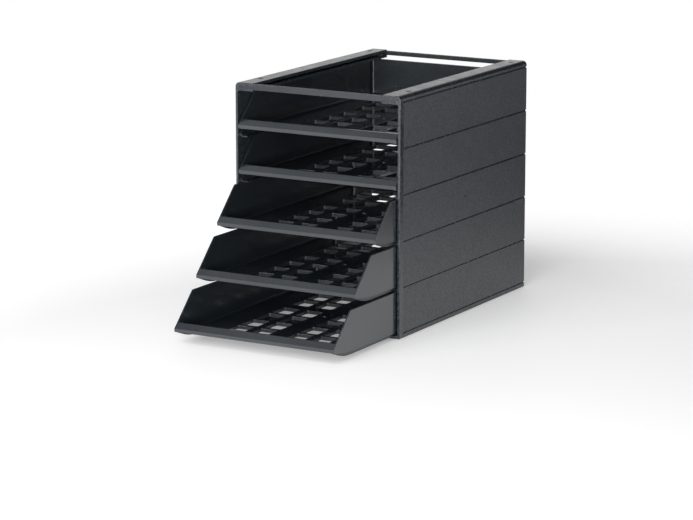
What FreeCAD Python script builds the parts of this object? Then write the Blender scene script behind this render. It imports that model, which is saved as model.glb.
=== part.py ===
"""Desktop drawer unit for paper: an open case of two moulded side panels joined by four crossbars,
with five identical open-fronted trays that slide on ledges inside the panels.

Millimetres, +Z up, front towards -Y. The origin is on the table, under the middle of the whole
unit with its trays pulled out as they are. Each piece is drawn in a frame of its own and then
moved into the unit: the case's pieces about the middle of the case, the trays from their front tip.
"""
import FreeCAD, Part
import math
import os
import Sketcher
from FreeCAD import Placement, Rotation, Vector

doc = FreeCAD.newDocument("drawer_unit")
sheet = doc.addObject("Spreadsheet::Sheet", "dims")

# ---------------------------------------------------------------------------------------------
# Driving dimensions: alias, value, meaning
# ---------------------------------------------------------------------------------------------
DIMENSIONS = [
    ("case_width", 250.0, "outside of one side panel to outside of the other"),
    ("case_depth", 365.0, "front to rear of a side panel"),
    ("case_height", 322.0, "table to top of the case"),
    ("foot_lift", 0.5, "gap under the case left by the rubber feet"),
    ("panel_wall", 3.5, "thickness of a side panel"),
    ("panel_edge_radius", 6.0, "rounding of a panel's long upper edge"),
    ("panel_sole_radius", 1.5, "rounding of a panel's long lower edge"),
    ("soft_edge", 0.8, "rounding of the case's small visible edges"),
    ("panel_root_radius", 3.0, "inner rounding where a flange meets the panel"),
    ("border_width", 9.4, "smooth border along the front of a panel"),
    ("groove_width", 2.4, "decorative groove on a panel's outer face"),
    ("groove_depth", 1.5, "depth of that groove"),
    ("groove_start", 7.6, "height of the lowest groove's middle"),
    ("tray_pitch", 61.2, "height from one tray, ledge or groove to the next"),
    ("tray_count", 5.0, "number of trays"),
    ("flange_width", 27.5, "panel's outer face to a flange's inner edge"),
    ("top_flange_height", 11.0, "height of the channel-shaped top flange"),
    ("top_flange_skin", 4.0, "plate above the channel of the top flange"),
    ("channel_height", 3.4, "slot of the top flange that takes the crossbars"),
    ("bottom_flange_top", 4.4, "upper face of the bottom flange above the table"),
    ("ledge_reach", 14.4, "panel's outer face to a ledge's inner edge"),
    ("ledge_low", 3.3, "underside of a ledge above its tray's datum"),
    ("ledge_high", 4.4, "upper face of a ledge above its tray's datum"),
    ("ledge_setback", 6.0, "front of the case to the front end of a ledge"),
    ("gusset_height", 9.0, "top of a ledge's gusset on the panel wall"),
    ("gusset_reach", 7.2, "panel's outer face to the foot of that gusset"),
    ("bar_overlap", 19.5, "length of a crossbar's end inside a flange"),
    ("bar_thickness", 3.0, "front to rear of a top crossbar's upright web"),
    ("tongue_depth", 17.0, "front to rear of a top crossbar's end tongue"),
    ("tongue_root", 3.0, "length of a tongue beside the web"),
    ("bar_setback", 0.4, "end of the case to a top crossbar"),
    ("bar_edge_radius", 0.9, "rounding of a top crossbar's long edges"),
    ("bar_gap", 0.3, "flange to the end of a crossbar's web"),
    ("fit_play", 0.1, "play on each side of a crossbar's end in its slot or lap"),
    ("front_bar_top", 0.6, "top of the case to the top of the front crossbar"),
    ("front_bar_height", 8.6, "height of the top front crossbar"),
    ("rear_bar_top", 1.2, "top of the case to the top of the rear crossbar"),
    ("rear_bar_height", 6.3, "height of the top rear crossbar"),
    ("floor_bar_depth", 15.0, "front to rear of a bottom crossbar"),
    ("floor_bar_skin", 1.4, "thickness of a bottom crossbar's lapped ends"),
    ("locator_diameter", 7.0, "round recess in the top flange for the foot of a stacked unit"),
    ("locator_depth", 2.0, "depth of that recess"),
    ("foot_diameter", 6.4, "rubber foot"),
    ("foot_seat", 1.5, "depth that a foot sits in its recess"),
    ("foot_edge", 0.4, "chamfer of a foot's lower edge"),
    ("foot_inset", 12.5, "panel's outer face to the middle of a foot or locating recess"),
    ("foot_front", 44.0, "front of the case to the middle of the front feet"),
    ("foot_rear", 341.0, "front of the case to the middle of the rear feet"),
    ("gate_diameter", 3.6, "moulding gate mark on a panel"),
    ("gate_depth", 0.8, "depth of a gate mark"),
    ("stop_height", 18.0, "height of the travel stops"),
    ("stop_low", 14.0, "underside of the travel stops above the tray's datum"),
    ("stop_setback", 20.0, "front of the case to a panel's stops"),
    ("panel_stop_reach", 1.0, "how far a panel's stop stands off its inner face"),
    ("tray_stop_reach", 0.9, "how far a tray's stop stands off its side wall"),
    ("stop_width", 3.0, "front to rear of a stop"),
    ("stop_play", 0.3, "gap left between the stops at full travel"),
    ("slide_travel", 260.0, "travel of a tray from closed to its stop"),
    ("tray_width", 240.0, "outside of a tray"),
    ("tray_length", 362.0, "front tip to rear face of a tray"),
    ("tray_overhang", 2.0, "how far a closed tray's tip stands ahead of the case"),
    ("tray_wall", 2.2, "wall thickness of a tray"),
    ("tray_top", 64.0, "top of a tray's walls above its datum"),
    ("tray_underside", 9.4, "underside of a tray's side walls above its datum"),
    ("floor_top", 12.2, "upper face of a tray's floor above its datum"),
    ("floor_skin", 3.0, "thickness of a tray's floor"),
    ("runner_low", 4.8, "sliding edge of a tray's runners above its datum"),
    ("runner_inset", 3.0, "side wall's outer face to a runner's outer face"),
    ("nose_low", 15.5, "underside of the tray's front nose above its datum"),
    ("nose_high", 20.4, "top of the nose's blunt front, where the lip's slope starts"),
    ("nose_back", 1.0, "how far the nose's underside lies behind its tip"),
    ("keel_corner", 32.0, "tip to the corner where the curved underside is rounded"),
    ("keel_radius", 300.0, "radius of the curved underside near the front"),
    ("runner_corner", 30.0, "tip to the corner of the runner's curved front"),
    ("runner_radius", 95.0, "radius of the runner's curved front"),
    ("runner_setback", 3.0, "nose's underside to the front of the runners"),
    ("runner_tip_drop", 1.2, "nose's underside down to the runners' front corner"),
    ("runner_blend", 12.0, "keel corner to where the runners sink into the tray"),
    ("runner_end", 4.0, "rear end of the runners to the tray's rear face"),
    ("lip_top", 27.2, "top of the front lip above the datum"),
    ("lip_crest", 2.4, "width of the lip's crest"),
    ("ramp_foot", 34.0, "tip to the foot of the ramp behind the lip"),
    ("ramp_radius", 16.0, "rounding at the foot of that ramp"),
    ("lip_wall", 2.6, "front to rear of the lip's sloping outer wall"),
    ("ramp_hollow", 33.2, "tip to where the ramp's underside meets the floor's"),
    ("floor_radius", 4.0, "inner rounding between a tray's floor and walls"),
    ("corner_radius", 3.5, "inner rounding of a tray's rear corners"),
    ("tray_nose_radius", 5.0, "rounding at the top front corner of a side wall"),
    ("rim_radius", 0.7, "softening of a tray's rims"),
    ("tray_gate", 10.0, "moulding gate mark in the middle of a tray's floor"),
    ("tray_gate_depth", 0.5, "depth of that mark"),
    ("overlap", 2.0, "how far a sketch reaches past the face that it cuts or joins"),
    ("window_width", 26.0, "floor window, left to right"),
    ("window_length", 33.0, "floor window, front to rear"),
    ("window_radius", 3.0, "corner radius of a floor window"),
    ("window_rim", 0.8, "rounding of a floor window's upper edge"),
    ("frame_drop", 2.0, "how far the frame round a window hangs below the floor"),
    ("frame_wall", 1.5, "thickness of that frame"),
    ("window_inner", 27.5, "tray's middle to the middle of an inner window"),
    ("window_outer", 63.5, "tray's middle to the middle of an outer window"),
    ("window_pitch", 39.7, "row to row"),
    ("window_first", 70.2, "tip to the middle of the first row"),
    ("window_fifth", 241.6, "tip to the middle of the fifth row, behind a wider bar"),
]
for row, (alias, number, meaning) in enumerate(DIMENSIONS, 1):
    sheet.set("A%d" % row, meaning)
    sheet.set("B%d" % row, str(number))
    sheet.setAlias("B%d" % row, alias)
doc.recompute()

# How far each tray stands out of the case, from the top tray to the bottom one.
TRAY_PULLED = [0.0, 0.0, 55.0, 107.0, 161.0]


class Size:
    """A length with its value and the expression that gives it from the sheet."""

    def __init__(self, value, text):
        self.value = value
        self.text = text

    def __add__(self, other):
        other = as_size(other)
        return Size(self.value + other.value, "(%s + %s)" % (self.text, other.text))

    def __sub__(self, other):
        other = as_size(other)
        return Size(self.value - other.value, "(%s - %s)" % (self.text, other.text))

    def __mul__(self, other):
        other = as_size(other)
        return Size(self.value * other.value, "(%s * %s)" % (self.text, other.text))

    def __truediv__(self, other):
        other = as_size(other)
        return Size(self.value / other.value, "(%s / %s)" % (self.text, other.text))

    def __neg__(self):
        return as_size(0) - self


def as_size(number):
    """A plain number as a Size."""
    if isinstance(number, Size):
        return number
    return Size(float(number), "(%s)" % float(number))


def dim(alias):
    """A driving dimension from the sheet."""
    return Size(float(sheet.get(alias)), "dims.%s" % alias)


def bind(thing, path, size):
    """Ties one property of an object to the sheet."""
    thing.setExpression(path, as_size(size).text)


# ---------------------------------------------------------------------------------------------
# Modelling helpers
# ---------------------------------------------------------------------------------------------
def new_body(label):
    body = doc.addObject("PartDesign::Body", label)
    body.Label = label
    return body


def origin_plane(body, role):
    """One of a body's own origin planes, such as XY_Plane."""
    for feature in body.Origin.OriginFeatures:
        if feature.Role == role:
            return feature
    raise ValueError("no plane " + role)


def new_sketch(body, name, role, offset=0):
    """A sketch on an origin plane, moved along the plane's normal by offset."""
    sketch = body.newObject("Sketcher::SketchObject", name)
    sketch.AttachmentSupport = [(origin_plane(body, role), "")]
    sketch.MapMode = "FlatFace"
    offset = as_size(offset)
    sketch.AttachmentOffset = Placement(Vector(0, 0, offset.value), Rotation())
    bind(sketch, "AttachmentOffset.Base.z", offset)
    return sketch


def place_point(sketch, geometry, position, across, up):
    """Ties a point of a sketch to its two coordinates."""
    for kind, aligned, size in (("DistanceX", "Vertical", across), ("DistanceY", "Horizontal", up)):
        if abs(size.value) < 1e-9:
            sketch.addConstraint(Sketcher.Constraint(aligned, -1, 1, geometry, position))
            continue
        number = sketch.addConstraint(
            Sketcher.Constraint(kind, -1, 1, geometry, position, size.value))
        sketch.setExpression("Constraints[%d]" % number, size.text)


def draw_polygon(sketch, corners):
    """A closed outline through corners, each tied to the sheet."""
    corners = [(as_size(across), as_size(up)) for across, up in corners]
    first = sketch.GeometryCount
    count = len(corners)
    for index in range(count):
        start = corners[index]
        end = corners[(index + 1) % count]
        sketch.addGeometry(Part.LineSegment(Vector(start[0].value, start[1].value, 0),
                                            Vector(end[0].value, end[1].value, 0)), False)
    for index in range(count):
        following = (index + 1) % count
        sketch.addConstraint(Sketcher.Constraint("Coincident", first + index, 2,
                                                 first + following, 1))
    for index, (across, up) in enumerate(corners):
        place_point(sketch, first + index, 1, across, up)


def draw_box(sketch, left, right, low, high):
    """A rectangle between two across values and two up values."""
    draw_polygon(sketch, [(left, low), (right, low), (right, high), (left, high)])


def draw_circle(sketch, across, up, diameter):
    across = as_size(across)
    up = as_size(up)
    diameter = as_size(diameter)
    circle = sketch.addGeometry(
        Part.Circle(Vector(across.value, up.value, 0), Vector(0, 0, 1), diameter.value / 2), False)
    place_point(sketch, circle, 3, across, up)
    number = sketch.addConstraint(Sketcher.Constraint("Diameter", circle, diameter.value))
    sketch.setExpression("Constraints[%d]" % number, diameter.text)


def pad(body, name, sketch, length, both_ways=False, reverse=False):
    feature = body.newObject("PartDesign::Pad", name)
    feature.Profile = sketch
    bind(feature, "Length", length)
    feature.SideType = "Symmetric" if both_ways else "One side"
    feature.Reversed = reverse
    doc.recompute()
    return feature


def pocket(body, name, sketch, length, both_ways=False, reverse=False):
    """Cuts a sketch into the body and makes sure that it removed something."""
    before = body.Shape.Volume
    feature = body.newObject("PartDesign::Pocket", name)
    feature.Profile = sketch
    bind(feature, "Length", length)
    feature.SideType = "Symmetric" if both_ways else "One side"
    feature.Reversed = reverse
    doc.recompute()
    if not body.Shape.Volume < before - 0.01:
        raise ValueError("%s of %s cuts nothing" % (name, body.Label))
    return feature


def repeat(body, name, feature, sketch, axis, step, count):
    """Copies of a feature along an axis of its sketch."""
    pattern = body.newObject("PartDesign::LinearPattern", name)
    pattern.Originals = [feature]
    pattern.Direction = (sketch, [axis])
    bind(pattern, "Length", as_size(step) * (count - 1))
    pattern.Occurrences = count
    body.Tip = pattern
    doc.recompute()
    return pattern


def edges_where(body, wanted):
    """Names of the tip's edges whose middle point and direction satisfy wanted."""
    names = []
    for number, edge in enumerate(body.Tip.Shape.Edges, 1):
        middle = edge.valueAt((edge.FirstParameter + edge.LastParameter) / 2)
        start = edge.valueAt(edge.FirstParameter)
        end = edge.valueAt(edge.LastParameter)
        if wanted(middle, end - start):
            names.append("Edge%d" % number)
    return names


def fillet(body, name, wanted, radius):
    names = edges_where(body, wanted)
    if not names:
        raise ValueError("%s of %s finds no edge" % (name, body.Label))
    feature = body.newObject("PartDesign::Fillet", name)
    feature.Base = (feature.BaseFeature, names)
    bind(feature, "Radius", radius)
    doc.recompute()
    return feature


def in_order(one, other):
    """Two sizes, the smaller first."""
    return (one, other) if one.value < other.value else (other, one)


def near(value, size, slack=0.05):
    return abs(value - as_size(size).value) < slack


def runs_along(direction, axis):
    """True for a straight step along one axis, given as 0, 1 or 2."""
    others = [abs(direction[index]) for index in range(3) if index != axis]
    return abs(direction[axis]) > 0.2 and max(others) < 1e-3


# ---------------------------------------------------------------------------------------------
# Shared positions
# ---------------------------------------------------------------------------------------------
half_width = dim("case_width") / 2
half_depth = dim("case_depth") / 2
inner_face = half_width - dim("panel_wall")
flange_edge = half_width - dim("flange_width")
case_floor = dim("foot_lift")
foot_across = half_width - dim("foot_inset")
foot_places = [dim("foot_front") - half_depth, dim("foot_rear") - half_depth]
channel_top = dim("case_height") - dim("top_flange_skin")
channel_floor = channel_top - dim("channel_height")
channel_wall = flange_edge + dim("bar_overlap") + dim("fit_play") * 4
TRAYS = int(dim("tray_count").value)
# The furthest tray's tip and the rear of the case lie equally far from the origin.
case_middle = (dim("tray_overhang") + max(TRAY_PULLED)) / 2


# ---------------------------------------------------------------------------------------------
# Case
# ---------------------------------------------------------------------------------------------
def make_right_panel():
    """One moulding: the wall, its two flanges, four ledges, stops, grooves and recesses."""
    body = new_body("right_side_panel")
    top = dim("case_height")
    flange_under = top - dim("top_flange_height")
    section = new_sketch(body, "panel_section", "XZ_Plane", half_depth)
    draw_polygon(section, [
        (half_width, case_floor),
        (half_width, top),
        (flange_edge, top),
        (flange_edge, channel_top),
        (channel_wall, channel_top),
        (channel_wall, channel_floor),
        (flange_edge, channel_floor),
        (flange_edge, flange_under),
        (inner_face, flange_under),
        (inner_face, dim("bottom_flange_top")),
        (flange_edge, dim("bottom_flange_top")),
        (flange_edge, case_floor),
    ])
    pad(body, "panel_wall_pad", section, dim("case_depth"), reverse=True)
    fillet(body, "long_upper_edge",
           lambda middle, step: near(middle.x, half_width) and near(middle.z, top)
           and runs_along(step, 1),
           dim("panel_edge_radius"))
    fillet(body, "long_lower_edge",
           lambda middle, step: near(middle.x, half_width) and near(middle.z, case_floor)
           and runs_along(step, 1),
           dim("panel_sole_radius"))
    fillet(body, "flange_roots",
           lambda middle, step: near(middle.x, inner_face) and runs_along(step, 1),
           dim("panel_root_radius"))
    fillet(body, "front_corner",
           lambda middle, step: near(middle.x, half_width) and runs_along(step, 2),
           dim("soft_edge"))
    fillet(body, "flange_lips",
           lambda middle, step: near(middle.x, flange_edge) and near(middle.z, top)
           and runs_along(step, 1),
           dim("soft_edge"))

    ledge = new_sketch(body, "ledge_section", "XZ_Plane", half_depth - dim("ledge_setback"))
    ledge_edge = half_width - dim("ledge_reach")
    gusset_foot = half_width - dim("gusset_reach")
    bury = inner_face + dim("panel_wall") / 2
    low = dim("tray_pitch") + dim("ledge_low")
    high = dim("tray_pitch") + dim("ledge_high")
    gusset_top = dim("tray_pitch") + dim("gusset_height")
    draw_polygon(ledge, [
        (bury, low),
        (ledge_edge, low),
        (ledge_edge, high),
        (gusset_foot, high),
        (inner_face, gusset_top),
        (bury, gusset_top),
    ])
    ledge_pad = pad(body, "ledge", ledge, dim("case_depth") - dim("ledge_setback"), reverse=True)
    repeat(body, "ledges", ledge_pad, ledge, "V_Axis", dim("tray_pitch"), TRAYS - 1)

    stop = new_sketch(body, "stop_plan", "XY_Plane", dim("stop_low"))
    stop_front = dim("stop_setback") - half_depth
    draw_box(stop, inner_face - dim("panel_stop_reach"), bury,
             stop_front, stop_front + dim("stop_width"))
    stop_pad = pad(body, "stop", stop, dim("stop_height"))
    repeat(body, "stops", stop_pad, stop, "N_Axis", dim("tray_pitch"), TRAYS)

    groove = new_sketch(body, "groove_outline", "YZ_Plane", half_width)
    draw_box(groove, dim("border_width") - half_depth, half_depth + dim("overlap"),
             dim("groove_start") - dim("groove_width") / 2,
             dim("groove_start") + dim("groove_width") / 2)
    groove_cut = pocket(body, "groove", groove, dim("groove_depth"))
    repeat(body, "grooves", groove_cut, groove, "V_Axis", dim("tray_pitch"), TRAYS + 1)

    gate = new_sketch(body, "gate_outline", "YZ_Plane", half_width)
    draw_circle(gate, 0, dim("case_height") / 2, dim("gate_diameter"))
    pocket(body, "gate_mark", gate, dim("gate_depth"))

    locator = new_sketch(body, "locator_plan", "XY_Plane", top)
    for place in foot_places:
        draw_circle(locator, foot_across, place, dim("locator_diameter"))
    pocket(body, "locating_recesses", locator, dim("locator_depth"))

    seat = new_sketch(body, "foot_seat_plan", "XY_Plane", case_floor)
    for place in foot_places:
        draw_circle(seat, foot_across, place, dim("foot_diameter"))
    pocket(body, "foot_seats", seat, dim("foot_seat"), reverse=True)

    lap = new_sketch(body, "lap_plan", "XY_Plane", case_floor)
    lap_end = flange_edge + dim("bar_overlap")
    lap_start = flange_edge - dim("overlap")
    past_end = half_depth + dim("overlap")
    bar_edge = half_depth - dim("floor_bar_depth")
    draw_box(lap, lap_start, lap_end, -past_end, -bar_edge)
    draw_box(lap, lap_start, lap_end, bar_edge, past_end)
    pocket(body, "crossbar_laps", lap, dim("floor_bar_skin"), reverse=True)
    return body


def make_top_crossbar(label, front, low, height):
    """An upright web between the flanges with a flat tongue at each end, in the channels."""
    body = new_body(label)
    inward = 1 if front else -1
    outer_face = (dim("bar_setback") - half_depth) * inward
    web_face = outer_face + dim("bar_thickness") * inward
    tongue_face = outer_face + dim("tongue_depth") * inward

    web = new_sketch(body, label + "_web", "XY_Plane", low)
    web_end = flange_edge - dim("bar_gap")
    draw_box(web, -web_end, web_end, *in_order(outer_face, web_face))
    pad(body, label + "_web_pad", web, height)
    fillet(body, label + "_rims", lambda middle, step: runs_along(step, 0), dim("bar_edge_radius"))

    tongue = new_sketch(body, label + "_tongue", "XY_Plane", channel_floor + dim("fit_play"))
    reach = flange_edge + dim("bar_overlap")
    root = flange_edge - dim("tongue_root")
    draw_box(tongue, root, reach, *in_order(outer_face, tongue_face))
    draw_box(tongue, -reach, -root, *in_order(outer_face, tongue_face))
    pad(body, label + "_tongue_pad", tongue, dim("channel_height") - dim("fit_play") * 2)
    return body


def make_bottom_crossbar(label, front):
    """A flat bar whose thinned ends lap under the bottom flanges."""
    body = new_body(label)
    play = dim("fit_play")
    inward = 1 if front else -1
    outer_face = (play - half_depth) * inward
    inner_face_of_bar = (dim("floor_bar_depth") - play - half_depth) * inward
    top = dim("bottom_flange_top") - play * 2

    lap = new_sketch(body, label + "_plan", "XY_Plane", case_floor)
    reach = flange_edge + dim("bar_overlap") - play
    draw_box(lap, -reach, reach, *in_order(outer_face, inner_face_of_bar))
    pad(body, label + "_lap_pad", lap, dim("floor_bar_skin") - play)

    middle = new_sketch(body, label + "_middle_plan", "XY_Plane", case_floor)
    edge = flange_edge - dim("bar_gap")
    draw_box(middle, -edge, edge, *in_order(outer_face, inner_face_of_bar))
    pad(body, label + "_middle_pad", middle, top - case_floor)
    fillet(body, label + "_rims",
           lambda point, step: runs_along(step, 0) and near(point.z, top),
           dim("soft_edge"))
    return body


def make_foot(label, across, along):
    """A round rubber pad, set into the bottom flange and standing proud of it."""
    body = new_body(label)
    plan = new_sketch(body, label + "_plan", "XY_Plane")
    draw_circle(plan, across, along, dim("foot_diameter") - dim("fit_play"))
    pad(body, label + "_pad", plan, case_floor + dim("foot_seat"))
    names = edges_where(body, lambda middle, step: near(middle.z, 0))
    edge = body.newObject("PartDesign::Chamfer", label + "_edge")
    edge.Base = (edge.BaseFeature, names)
    bind(edge, "Size", dim("foot_edge"))
    doc.recompute()
    return body


# ---------------------------------------------------------------------------------------------
# Trays, drawn with Y from the front tip and Z from the table under the lowest tray
# ---------------------------------------------------------------------------------------------
lip_outer = dim("lip_top") - dim("nose_high")
lip_inner = lip_outer + dim("lip_crest")
runner_end = dim("tray_length") - dim("runner_end")


def add_tray_shell(body):
    """The outside: a side profile with sloping front and curved keel, then the runners."""
    profile = new_sketch(body, "side_profile", "YZ_Plane")
    slope_run = dim("tray_top") - dim("nose_high")
    draw_polygon(profile, [
        (dim("nose_back"), dim("nose_low")),
        (0, dim("nose_high")),
        (slope_run, dim("tray_top")),
        (dim("tray_length"), dim("tray_top")),
        (dim("tray_length"), dim("tray_underside")),
        (dim("keel_corner"), dim("tray_underside")),
    ])
    pad(body, "shell", profile, dim("tray_width"), both_ways=True)
    fillet(body, "keel",
           lambda middle, step: near(middle.y, dim("keel_corner"))
           and near(middle.z, dim("tray_underside")),
           dim("keel_radius"))
    fillet(body, "wall_tips",
           lambda middle, step: near(middle.y, slope_run) and near(middle.z, dim("tray_top")),
           dim("tray_nose_radius"))
    fillet(body, "rear_outer_corners",
           lambda middle, step: near(middle.y, dim("tray_length")) and runs_along(step, 2),
           dim("corner_radius") + dim("tray_wall"))

    runner = new_sketch(body, "runner_profile", "YZ_Plane")
    runner_front = dim("nose_back") + dim("runner_setback")
    sunk = dim("tray_underside") + dim("overlap")
    draw_polygon(runner, [
        (runner_front, dim("nose_low") + dim("overlap") / 2),
        (runner_front, dim("nose_low") - dim("runner_tip_drop")),
        (dim("runner_corner"), dim("runner_low")),
        (runner_end, dim("runner_low")),
        (runner_end, sunk),
        (dim("keel_corner") + dim("runner_blend"), sunk),
    ])
    width = dim("tray_width") - dim("runner_inset") * 2
    pad(body, "runner_block", runner, width, both_ways=True)
    fillet(body, "runner_fronts",
           lambda middle, step: near(middle.y, dim("runner_corner"))
           and near(middle.z, dim("runner_low")),
           dim("runner_radius"))


def cut_tray_inside(body):
    """The paper well with its ramp behind the lip, and the hollow under the floor."""
    inside_width = dim("tray_width") - dim("tray_wall") * 2
    inside_end = dim("tray_length") - dim("tray_wall")
    above = dim("tray_top") + dim("overlap")
    before = -dim("overlap")
    well = new_sketch(body, "well_profile", "YZ_Plane")
    draw_polygon(well, [
        (before, dim("lip_top")),
        (lip_inner, dim("lip_top")),
        (dim("ramp_foot"), dim("floor_top")),
        (inside_end, dim("floor_top")),
        (inside_end, above),
        (before, above),
    ])
    pocket(body, "well", well, inside_width, both_ways=True)
    fillet(body, "ramp_round",
           lambda middle, step: near(middle.y, dim("ramp_foot"))
           and near(middle.z, dim("floor_top")) and runs_along(step, 0),
           dim("ramp_radius"))
    fillet(body, "rear_inner_corners",
           lambda middle, step: near(middle.y, inside_end) and runs_along(step, 2)
           and near(abs(middle.x), inside_width / 2),
           dim("corner_radius"))
    fillet(body, "floor_round",
           lambda middle, step: near(middle.z, dim("floor_top"))
           and near(abs(middle.x), inside_width / 2) and runs_along(step, 1),
           dim("floor_radius"))

    skin = dim("tray_wall")
    ceiling = dim("floor_top") - dim("floor_skin")
    crest_low = dim("lip_top") - skin
    hollow_front = dim("nose_back") + skin
    hollow_end = runner_end - skin
    hollow = new_sketch(body, "hollow_profile", "YZ_Plane")
    draw_polygon(hollow, [
        (hollow_front, 0),
        (hollow_front, dim("nose_high")),
        (crest_low - dim("nose_high") + dim("lip_wall"), crest_low),
        (dim("ramp_hollow"), ceiling),
        (hollow_end, ceiling),
        (hollow_end, 0),
    ])
    hollow_width = dim("tray_width") - (dim("runner_inset") + skin) * 2
    pocket(body, "hollow", hollow, hollow_width, both_ways=True)


def draw_rounded_box(sketch, across, up, width, height, radius):
    """A rectangle with rounded corners about a middle point."""
    across = as_size(across)
    up = as_size(up)
    half_w = width / 2
    half_h = height / 2
    first = sketch.GeometryCount
    x0, x1 = across.value - half_w.value, across.value + half_w.value
    y0, y1 = up.value - half_h.value, up.value + half_h.value
    r = radius.value
    lines = [((x0 + r, y0), (x1 - r, y0)), ((x1, y0 + r), (x1, y1 - r)),
             ((x1 - r, y1), (x0 + r, y1)), ((x0, y1 - r), (x0, y0 + r))]
    for start, end in lines:
        sketch.addGeometry(Part.LineSegment(Vector(*start, 0), Vector(*end, 0)), False)
    centres = [(x1 - r, y0 + r), (x1 - r, y1 - r), (x0 + r, y1 - r), (x0 + r, y0 + r)]
    quarter = math.pi / 2
    for corner, centre in enumerate(centres):
        start_angle = (corner - 1) * quarter
        circle = Part.Circle(Vector(*centre, 0), Vector(0, 0, 1), r)
        sketch.addGeometry(Part.ArcOfCircle(circle, start_angle, start_angle + quarter), False)
    for corner in range(4):
        arc = first + 4 + corner
        sketch.addConstraint(Sketcher.Constraint("Tangent", first + corner, 2, arc, 1))
        sketch.addConstraint(Sketcher.Constraint("Tangent", arc, 2, first + (corner + 1) % 4, 1))
        if corner:
            sketch.addConstraint(Sketcher.Constraint("Equal", first + 4, arc))
    number = sketch.addConstraint(Sketcher.Constraint("Radius", first + 4, r))
    sketch.setExpression("Constraints[%d]" % number, radius.text)
    for line in (first, first + 2):
        sketch.addConstraint(Sketcher.Constraint("Horizontal", line))
    for line in (first + 1, first + 3):
        sketch.addConstraint(Sketcher.Constraint("Vertical", line))
    place_sides = [("DistanceX", first + 1, across + half_w), ("DistanceX", first + 3, across - half_w),
                   ("DistanceY", first, up - half_h), ("DistanceY", first + 2, up + half_h)]
    for kind, line, size in place_sides:
        number = sketch.addConstraint(Sketcher.Constraint(kind, -1, 1, line, 1, size.value))
        sketch.setExpression("Constraints[%d]" % number, size.text)


def cut_tray_windows(body):
    """Seven rows of four framed windows through the floor, in a group of four rows and one of three."""
    columns = [-dim("window_outer"), -dim("window_inner"), dim("window_inner"), dim("window_outer")]
    frame_low = dim("floor_top") - dim("floor_skin") - dim("frame_drop")
    frame_walls = dim("frame_wall") * 2
    for name, middle, rows in (("front", dim("window_first"), 4), ("rear", dim("window_fifth"), 3)):
        outline = new_sketch(body, name + "_frame_plan", "XY_Plane", frame_low)
        for column in columns:
            draw_rounded_box(outline, column, middle, dim("window_width") + frame_walls,
                             dim("window_length") + frame_walls,
                             dim("window_radius") + dim("frame_wall"))
        frames = pad(body, name + "_frames", outline, dim("frame_drop") + dim("overlap"))
        repeat(body, name + "_frame_rows", frames, outline, "V_Axis", dim("window_pitch"), rows)

        plan = new_sketch(body, name + "_window_plan", "XY_Plane",
                          dim("floor_top") + dim("overlap"))
        for column in columns:
            draw_rounded_box(plan, column, middle, dim("window_width"), dim("window_length"),
                             dim("window_radius"))
        depth = dim("floor_skin") + dim("frame_drop") + dim("overlap") * 2
        cut = pocket(body, name + "_windows", plan, depth)
        repeat(body, name + "_window_rows", cut, plan, "V_Axis", dim("window_pitch"), rows)

    slack = dim("fit_play").value
    half_length = dim("window_length") / 2
    side = (dim("window_outer") + dim("window_width") / 2).value + slack
    first = (dim("window_first") - half_length).value - slack
    last = (dim("window_fifth") + dim("window_pitch") * 2 + half_length).value + slack
    fillet(body, "window_rims",
           lambda middle, step: near(middle.z, dim("floor_top")) and abs(middle.x) < side
           and first < middle.y < last,
           dim("window_rim"))


def add_tray_details(body):
    """Travel stops on the side walls, the gate mark in the floor, and softened rims."""
    stop = new_sketch(body, "tray_stop_plan", "XY_Plane", dim("stop_low"))
    half_tray = dim("tray_width") / 2
    # Closed, the stop lies one travel behind the rear face of the panel's stop.
    start = (dim("tray_overhang") + dim("stop_setback") + dim("stop_width")
             + dim("slide_travel") + dim("stop_play"))
    for side in (-1, 1):
        near_face = (half_tray - dim("tray_wall") / 2) * side
        far_face = (half_tray + dim("tray_stop_reach")) * side
        left, right = (near_face, far_face) if side > 0 else (far_face, near_face)
        draw_box(stop, left, right, start, start + dim("stop_width"))
    pad(body, "tray_stops", stop, dim("stop_height"))

    gate = new_sketch(body, "tray_gate_plan", "XY_Plane", dim("floor_top"))
    draw_circle(gate, 0, dim("tray_length") / 2, dim("tray_gate"))
    pocket(body, "tray_gate_mark", gate, dim("tray_gate_depth"))

    fillet(body, "rims",
           lambda middle, step: near(middle.z, dim("tray_top")),
           dim("rim_radius"))
    fillet(body, "lip_crest",
           lambda middle, step: near(middle.z, dim("lip_top")) and runs_along(step, 0),
           dim("rim_radius"))


def make_tray(number):
    """Tray 1 is the top one."""
    body = new_body("drawer_%d" % number)
    tip = case_middle - half_depth - dim("tray_overhang") - TRAY_PULLED[number - 1]
    add_tray_shell(body)
    cut_tray_inside(body)
    cut_tray_windows(body)
    add_tray_details(body)
    bind(body, "Placement.Base.y", tip)
    bind(body, "Placement.Base.z", dim("tray_pitch") * (TRAYS - number))
    doc.recompute()
    return body


# ---------------------------------------------------------------------------------------------
# Build
# ---------------------------------------------------------------------------------------------
right_panel = make_right_panel()
left_panel = doc.addObject("Part::Mirroring", "left_side_panel")
left_panel.Label = "left_side_panel"
left_panel.Source = right_panel
left_panel.Normal = Vector(1, 0, 0)
case_bodies = [right_panel]
front_low = dim("case_height") - dim("front_bar_top") - dim("front_bar_height")
rear_low = dim("case_height") - dim("rear_bar_top") - dim("rear_bar_height")
case_bodies.append(
    make_top_crossbar("top_front_crossbar", True, front_low, dim("front_bar_height")))
case_bodies.append(
    make_top_crossbar("top_rear_crossbar", False, rear_low, dim("rear_bar_height")))
case_bodies.append(make_bottom_crossbar("bottom_front_crossbar", True))
case_bodies.append(make_bottom_crossbar("bottom_rear_crossbar", False))
for side_name, across in (("left", -foot_across), ("right", foot_across)):
    for end_name, along in zip(("front", "rear"), foot_places):
        case_bodies.append(make_foot("foot_%s_%s" % (end_name, side_name), across, along))
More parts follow.
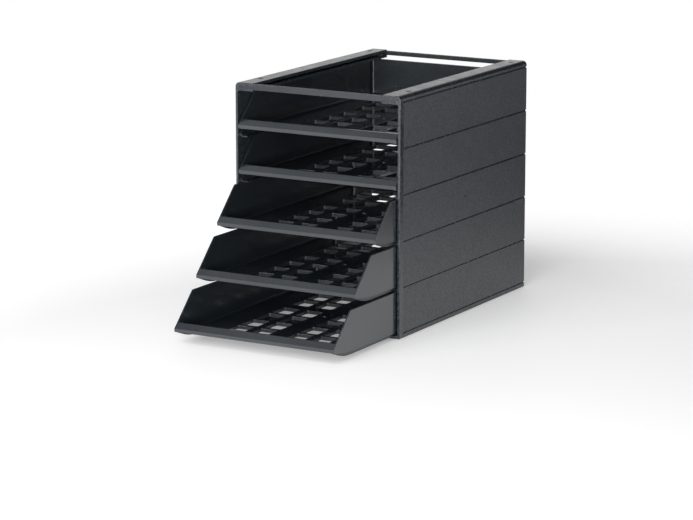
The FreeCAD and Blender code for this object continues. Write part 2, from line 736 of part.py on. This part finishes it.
for body in case_bodies:
    bind(body, "Placement.Base.y", case_middle)
trays = [make_tray(number) for number in range(1, TRAYS + 1)]
pieces = [left_panel] + case_bodies + trays
doc.recompute()

# ---------------------------------------------------------------------------------------------
# Check and write
# ---------------------------------------------------------------------------------------------
for thing in doc.Objects:
    if "Invalid" in thing.State or "Error" in thing.State:
        raise RuntimeError("%s failed: %s" % (thing.Label, thing.State))
for piece in pieces:
    if piece.Shape.isNull() or not piece.Shape.isValid():
        raise RuntimeError("%s has no valid shape" % piece.Label)
    if len(piece.Shape.Solids) != 1:
        raise RuntimeError("%s is not one solid" % piece.Label)

os.makedirs("parts", exist_ok=True)
for piece in pieces:
    piece.Shape.exportStep("parts/%s.step" % piece.Label)
    box = piece.Shape.BoundBox
    print("%-24s volume %9.0f  X %7.1f %7.1f  Y %7.1f %7.1f  Z %6.1f %6.1f" % (
        piece.Label, piece.Shape.Volume, box.XMin, box.XMax, box.YMin, box.YMax,
        box.ZMin, box.ZMax))
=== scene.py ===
"""Looks of the desktop drawer unit: moulded black plastic on a plain pale floor in soft studio light."""
import math

import bpy
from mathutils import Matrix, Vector


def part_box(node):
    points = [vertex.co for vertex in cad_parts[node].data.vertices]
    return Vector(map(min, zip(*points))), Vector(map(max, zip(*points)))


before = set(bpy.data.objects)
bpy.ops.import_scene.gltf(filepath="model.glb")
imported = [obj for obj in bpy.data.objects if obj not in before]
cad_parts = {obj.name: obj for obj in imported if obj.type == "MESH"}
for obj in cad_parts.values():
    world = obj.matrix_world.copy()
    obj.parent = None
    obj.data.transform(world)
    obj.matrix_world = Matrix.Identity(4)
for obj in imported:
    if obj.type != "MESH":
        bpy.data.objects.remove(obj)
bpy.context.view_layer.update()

# Camera: place, heading, downward tilt, focal length on a 36 mm sensor, and how far it sees.
CAMERA_PLACE = (1.9442, -3.4144, 0.9236)
CAMERA_HEADING = 29.82
CAMERA_TILT = 12.19
CAMERA_LENS = 154.4
SENSOR_WIDTH = 36.0
CAMERA_REACH = 100

TRAY_NODES = ["drawer_%d" % number for number in range(1, 6)]
PANEL_NODES = ["left_side_panel", "right_side_panel"]
CROSSBAR_NODES = ["top_front_crossbar", "top_rear_crossbar",
                  "bottom_front_crossbar", "bottom_rear_crossbar"]
FOOT_NODES = ["foot_front_left", "foot_front_right", "foot_rear_left", "foot_rear_right"]

# Sizes on the CAD pieces that the finishes follow, in metres.
BORDER_WIDTH = 0.0094
TRAY_WALL = 0.0022
SIDE_RIB = 0.0009
FLOOR_ABOVE_RUNNER = 0.0074
UNDERSIDE_ABOVE_RUNNER = 0.0046
NOSE_DEPTH = 0.012
LIP_ABOVE_RUNNER = 0.024
HAIR = 0.0004

# Parts of a face's normal that tell which way it looks.
LOOKS_UP = 0.5
LOOKS_FORWARD = 0.3
LOOKS_ASIDE = 0.2

POLYSTYRENE_IOR = 1.59
TRAY_DARK = (0.011, 0.0150, 0.0190)
TRAY_LIGHT = (0.014, 0.0180, 0.0220)
WALL_DARK = (0.013, 0.0170, 0.0210)
WALL_LIGHT = (0.017, 0.0210, 0.0250)
OUTSIDE_DARK = (0.010, 0.0140, 0.0180)
CROSSBAR_DARK = (0.014, 0.0180, 0.0225)
CROSSBAR_LIGHT = (0.018, 0.0220, 0.0265)
PANEL_DARK = (0.006, 0.0105, 0.015)
PANEL_LIGHT = (0.030, 0.0345, 0.040)
RUBBER_DARK = (0.030, 0.030, 0.030)
RUBBER_LIGHT = (0.042, 0.042, 0.041)

# Least and greatest roughness of each finish that isn't made by plastic().
BORDER_ROUGHNESS = (0.22, 0.28)
BAND_ROUGHNESS = (0.36, 0.56)
RUBBER_ROUGHNESS = (0.68, 0.82)

# Cells a metre of the noise that drives each finish.
DRIFT_NOISE = 14
FLOW_NOISE = 35
GLOSS_NOISE = 60
SPECKLE_NOISE = 420
MATTE_NOISE = 600
SATIN_GRAIN = 1400
PANEL_GRAIN = 1500
RUBBER_GLOSS_NOISE = 300
RUBBER_SPECK_NOISE = 900
RUBBER_GRAIN = 1800

# Depths of bump on the panels and feet, in metres.
PANEL_FLOW_DEPTH = 0.00006
PANEL_GRAIN_DEPTH = 0.00012
RUBBER_GRAIN_DEPTH = 0.00008


# ---------------------------------------------------------------------------------------------
# Materials
# ---------------------------------------------------------------------------------------------
class Nodes:
    """Short ways to add and join the nodes of one material."""

    def __init__(self, name):
        self.material = bpy.data.materials.new(name)
        self.material.use_nodes = True
        self.tree = self.material.node_tree
        self.shader = self.tree.nodes["Principled BSDF"]
        self.place = self.add("ShaderNodeTexCoord").outputs["Object"]

    def add(self, kind, **settings):
        node = self.tree.nodes.new(kind)
        for key, value in settings.items():
            setattr(node, key, value)
        return node

    def join(self, source, target):
        self.tree.links.new(source, target)

    def noise(self, scale, detail=2.0):
        """Noise with this many cells a metre."""
        node = self.add("ShaderNodeTexNoise")
        node.inputs["Scale"].default_value = scale
        node.inputs["Detail"].default_value = detail
        self.join(self.place, node.inputs["Vector"])
        return node.outputs["Fac"]

    def spread(self, source, low, high, start=0.35, end=0.65):
        """Carries source from start..end over to low..high."""
        node = self.add("ShaderNodeMapRange")
        for name, value in (("From Min", start), ("From Max", end), ("To Min", low), ("To Max", high)):
            node.inputs[name].default_value = value
        self.join(source, node.inputs["Value"])
        return node.outputs["Result"]

    def away_from(self, point):
        """The distance from a point to the place that is shaded."""
        node = self.add("ShaderNodeVectorMath", operation="DISTANCE")
        self.join(self.place, node.inputs[0])
        node.inputs[1].default_value = point
        return node.outputs["Value"]

    def math(self, operation, first, second=None):
        node = self.add("ShaderNodeMath", operation=operation)
        for number, value in enumerate((first, second)):
            if value is None:
                continue
            if isinstance(value, (int, float)):
                node.inputs[number].default_value = value
            else:
                self.join(value, node.inputs[number])
        return node.outputs["Value"]

    def between(self, share, low, high):
        """low where share is 0 and high where it is 1; each may be a number or a socket."""
        node = self.add("ShaderNodeMix", data_type="FLOAT")
        self.join(share, node.inputs["Factor"])
        for name, value in (("A", low), ("B", high)):
            if isinstance(value, (int, float)):
                node.inputs[name].default_value = value
            else:
                self.join(value, node.inputs[name])
        return node.outputs["Result"]

    def tint(self, source, dark, light):
        """A colour that goes from dark to light with source."""
        node = self.add("ShaderNodeMix", data_type="RGBA")
        self.join(source, node.inputs["Factor"])
        node.inputs["A"].default_value = (*dark, 1)
        node.inputs["B"].default_value = (*light, 1)
        return node.outputs["Result"]

    def relief(self, height, distance, normal=None):
        """Bump of this depth in metres."""
        node = self.add("ShaderNodeBump")
        node.inputs["Strength"].default_value = 1.0
        node.inputs["Distance"].default_value = distance
        self.join(height, node.inputs["Height"])
        if normal is not None:
            self.join(normal, node.inputs["Normal"])
        return node.outputs["Normal"]


def plastic(name, dark, light, smooth, rough, grain=None, grain_depth=0.0, flow_depth=0.0, shine=0.5):
    """Moulded plastic: faint colour drift, uneven gloss, slow surface flow and optional grain."""
    nodes = Nodes(name)
    nodes.shader.inputs["IOR"].default_value = POLYSTYRENE_IOR
    nodes.shader.inputs["Specular IOR Level"].default_value = shine
    drift = nodes.spread(nodes.noise(DRIFT_NOISE, 3.0), 0.0, 1.0)
    nodes.join(nodes.tint(drift, dark, light), nodes.shader.inputs["Base Color"])
    gloss = nodes.spread(nodes.noise(GLOSS_NOISE, 4.0), smooth, rough)
    nodes.join(gloss, nodes.shader.inputs["Roughness"])
    normal = nodes.relief(nodes.noise(FLOW_NOISE, 1.0), flow_depth)
    if grain:
        normal = nodes.relief(nodes.noise(grain, 2.0), grain_depth, normal)
    nodes.join(normal, nodes.shader.inputs["Normal"])
    return nodes.material


def panel_plastic():
    """Smooth edges and borders round fine-grained matte bands on a panel's outer face."""
    nodes = Nodes("panel_plastic")
    nodes.shader.inputs["IOR"].default_value = POLYSTYRENE_IOR
    low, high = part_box("right_side_panel")
    parts = nodes.add("ShaderNodeSeparateXYZ")
    nodes.join(nodes.place, parts.inputs["Vector"])
    outward = nodes.math("ABSOLUTE", parts.outputs["X"])
    on_face = nodes.spread(outward, 0.0, 1.0, high.x - HAIR, high.x - HAIR / 2)
    edge = low.y + BORDER_WIDTH
    past_border = nodes.spread(parts.outputs["Y"], 0.0, 1.0, edge - HAIR, edge + HAIR)
    band = nodes.math("MULTIPLY", on_face, past_border)

    fine = nodes.noise(PANEL_GRAIN, 2.0)
    speckle = nodes.spread(nodes.noise(SPECKLE_NOISE, 3.0), 0.0, 1.0, 0.40, 0.60)
    nodes.join(nodes.tint(speckle, PANEL_DARK, PANEL_LIGHT), nodes.shader.inputs["Base Color"])
    border_gloss = nodes.spread(nodes.noise(GLOSS_NOISE, 4.0), *BORDER_ROUGHNESS)
    band_gloss = nodes.spread(nodes.noise(MATTE_NOISE, 2.0), *BAND_ROUGHNESS)
    nodes.join(nodes.between(band, border_gloss, band_gloss), nodes.shader.inputs["Roughness"])
    flow = nodes.relief(nodes.noise(FLOW_NOISE, 1.0), PANEL_FLOW_DEPTH)
    grain_height = nodes.math("MULTIPLY", fine, band)
    nodes.join(nodes.relief(grain_height, PANEL_GRAIN_DEPTH, flow), nodes.shader.inputs["Normal"])
    return nodes.material


def foot_rubber():
    """Dull dark rubber with a fine grain."""
    nodes = Nodes("foot_rubber")
    speck = nodes.spread(nodes.noise(RUBBER_SPECK_NOISE, 3.0), 0.0, 1.0)
    nodes.join(nodes.tint(speck, RUBBER_DARK, RUBBER_LIGHT), nodes.shader.inputs["Base Color"])
    gloss = nodes.spread(nodes.noise(RUBBER_GLOSS_NOISE, 2.0), *RUBBER_ROUGHNESS)
    nodes.join(gloss, nodes.shader.inputs["Roughness"])
    grain = nodes.relief(nodes.noise(RUBBER_GRAIN, 2.0), RUBBER_GRAIN_DEPTH)
    nodes.join(grain, nodes.shader.inputs["Normal"])
    return nodes.material


def set_materials(node, materials, choose=None):
    """Gives a CAD node its materials; choose says which one each face takes."""
    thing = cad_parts[node]
    thing.data.materials.clear()
    for material in materials:
        thing.data.materials.append(material)
    for face in thing.data.polygons:
        face.material_index = choose(face.center, face.normal) if choose else 0


def tray_face_chooser(node):
    """0 for the glossy floor, 1 for the inner walls, 2 for the outside and lip, 3 for the underside."""
    low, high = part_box(node)
    outer = high.x - SIDE_RIB
    underside = low.z + UNDERSIDE_ABOVE_RUNNER

    def choose(centre, normal):
        if abs(centre.x) > outer - TRAY_WALL / 2 and centre.z > underside - HAIR:
            return 2
        if centre.y > high.y - TRAY_WALL / 2:
            return 2
        on_nose = centre.y < low.y + NOSE_DEPTH and centre.z < low.z + LIP_ABOVE_RUNNER
        if on_nose and normal.y < -LOOKS_FORWARD and normal.z > -LOOKS_UP:
            return 2
        if centre.z < low.z + FLOOR_ABOVE_RUNNER - HAIR and normal.z < LOOKS_ASIDE:
            return 3
        return 0 if normal.z > LOOKS_UP else 1
    return choose


tray_floor = plastic("tray_floor_plastic", TRAY_DARK, TRAY_LIGHT, smooth=0.07, rough=0.11,
                     flow_depth=0.00004)
tray_wall = plastic("tray_wall_plastic", WALL_DARK, WALL_LIGHT, smooth=0.18, rough=0.25,
                    flow_depth=0.00005)
outside = plastic("tray_outside_plastic", OUTSIDE_DARK, TRAY_LIGHT, smooth=0.15, rough=0.21,
                  grain=SATIN_GRAIN, grain_depth=0.00002, flow_depth=0.00006, shine=0.8)
underside = plastic("tray_underside_plastic", TRAY_DARK, TRAY_LIGHT, smooth=0.34, rough=0.44,
                    grain=SATIN_GRAIN, grain_depth=0.00003, flow_depth=0.00005)
crossbar = plastic("crossbar_plastic", CROSSBAR_DARK, CROSSBAR_LIGHT, smooth=0.20, rough=0.28,
                   flow_depth=0.00002)
panel = panel_plastic()
rubber = foot_rubber()

for node in TRAY_NODES:
    set_materials(node, [tray_floor, tray_wall, outside, underside], tray_face_chooser(node))
for node in PANEL_NODES:
    set_materials(node, [panel])
for node in CROSSBAR_NODES:
    set_materials(node, [crossbar])
for node in FOOT_NODES:
    set_materials(node, [rubber])


# ---------------------------------------------------------------------------------------------
# Floor, light and camera
# ---------------------------------------------------------------------------------------------
# The floor is full within one distance of its middle and gone at another.
FLOOR_REACH = 3.2
FLOOR_MIDDLE = Vector((-0.3, -0.9, 0.0))
FLOOR_FULL = 1.35
FLOOR_GONE = 1.90
# Its glow is painted light that lifts the table's shadows: it rises from FLOOR_GLOW to FAR_GLOW between
# two distances from another point, so the table is painted darker round the unit's right front.
FLOOR_GLOW = 0.27
FAR_GLOW = 0.60
GLOW_MIDDLE = Vector((0.5, -0.3, 0.0))
GLOW_RISES = 0.85
GLOW_FULL = 1.25
FLOOR_NOISE = 3
FLOOR_DARK = (0.86, 0.86, 0.86)
FLOOR_LIGHT = (0.88, 0.88, 0.88)
FLOOR_ROUGHNESS = 0.6
STUDIO_GLOW = 0.02
SOFTBOX_DISTANCE = 2.6
LIT_POINT = Vector((0.0, 0.0, 0.16))

# Name, heading, angle above the floor, width, height and brightness of each softbox.
SOFTBOXES = [
    ("key_softbox", 7.5, 20, 2.40, 1.20, 5.0),
    ("low_key_softbox", 22, 7, 2.40, 0.55, 10.7),
    ("high_front_softbox", 0, 51, 1.80, 1.20, 3.4),
    ("front_left_softbox", -32, 24, 0.30, 0.60, 14.0),
    ("upper_left_softbox", -67, 58, 0.90, 0.70, 0.50),
    ("side_left_softbox", -105, 31, 1.85, 1.25, 0.5),
    ("right_strip", 75, 9, 2.13, 0.75, 0.3),
    ("rear_right_strip", 120, 9, 2.13, 0.75, 3.3),
    ("rear_left_strip", -150, 9, 2.13, 0.75, 1.1),
    ("rear_left_softbox", -150, 31, 1.85, 1.25, 0.5),
    ("rear_high_softbox", 165, 62, 1.85, 1.25, 0.6),
]


def make_floor():
    """A pale table with painted light: it glows, dimmer round the unit's right front, catches shadows,
    and thins out into the white far away.
    """
    reach = FLOOR_REACH
    mesh = bpy.data.meshes.new("floor")
    mesh.from_pydata([(-reach, -reach, 0), (reach, -reach, 0), (reach, reach, 0), (-reach, reach, 0)],
                     [], [(0, 1, 2, 3)])
    floor = bpy.data.objects.new("floor", mesh)
    bpy.context.scene.collection.objects.link(floor)
    nodes = Nodes("floor_table")
    paleness = nodes.tint(nodes.noise(FLOOR_NOISE, 2.0), FLOOR_DARK, FLOOR_LIGHT)
    nodes.join(paleness, nodes.shader.inputs["Base Color"])
    nodes.shader.inputs["Roughness"].default_value = FLOOR_ROUGHNESS
    nodes.shader.inputs["Emission Color"].default_value = (1, 1, 1, 1)
    # Painted light: the glow stands in for lamp light on the table and is painted dimmer near the unit's
    # right front.
    glow = nodes.spread(nodes.away_from(GLOW_MIDDLE), FLOOR_GLOW, FAR_GLOW, GLOW_RISES, GLOW_FULL)
    nodes.join(glow, nodes.shader.inputs["Emission Strength"])
    cover = nodes.spread(nodes.away_from(FLOOR_MIDDLE), 1.0, 0.0, FLOOR_FULL, FLOOR_GONE)
    nodes.join(cover, nodes.shader.inputs["Alpha"])
    mesh.materials.append(nodes.material)


def add_softbox(name, heading, height_angle, width, height, brightness):
    """A rectangular light that faces the object; heading 0 is in front of it and 90 to its right.

    Angles are in degrees and sizes in metres; brightness 1 looks pure white. It isn't seen itself.
    """
    data = bpy.data.lights.new(name, "AREA")
    data.shape = "RECTANGLE"
    data.size = width
    data.size_y = height
    data.energy = brightness * math.pi * width * height
    lamp = bpy.data.objects.new(name, data)
    around = math.radians(heading)
    upward = math.radians(height_angle)
    away = Vector((math.sin(around) * math.cos(upward), -math.cos(around) * math.cos(upward),
                   math.sin(upward)))
    lamp.location = away * SOFTBOX_DISTANCE
    lamp.rotation_euler = (LIT_POINT - lamp.location).to_track_quat("-Z", "Y").to_euler()
    lamp.visible_camera = False
    bpy.context.scene.collection.objects.link(lamp)


def make_light():
    """White behind everything, a dim room for what the object reflects, and the softboxes."""
    world = bpy.data.worlds.new("studio")
    world.use_nodes = True
    tree = world.node_tree
    sky = tree.nodes["Background"]
    sky.inputs["Color"].default_value = (1.0, 1.0, 1.0, 1)
    path = tree.nodes.new("ShaderNodeLightPath")
    glow = tree.nodes.new("ShaderNodeMapRange")
    glow.inputs["To Min"].default_value = STUDIO_GLOW
    glow.inputs["To Max"].default_value = 1.0
    tree.links.new(path.outputs["Is Camera Ray"], glow.inputs["Value"])
    tree.links.new(glow.outputs["Result"], sky.inputs["Strength"])
    bpy.context.scene.world = world
    for softbox in SOFTBOXES:
        add_softbox(*softbox)


def make_camera():
    """A long lens from the right of the front, a little above the object."""
    data = bpy.data.cameras.new("camera")
    data.sensor_width = SENSOR_WIDTH
    data.lens = CAMERA_LENS
    data.clip_end = CAMERA_REACH
    camera = bpy.data.objects.new("camera", data)
    camera.location = CAMERA_PLACE
    camera.rotation_euler = (math.radians(90 - CAMERA_TILT), 0, math.radians(CAMERA_HEADING))
    bpy.context.scene.collection.objects.link(camera)
    bpy.context.scene.camera = camera


make_floor()
make_light()
make_camera()
bpy.context.scene.view_settings.view_transform = "Standard"
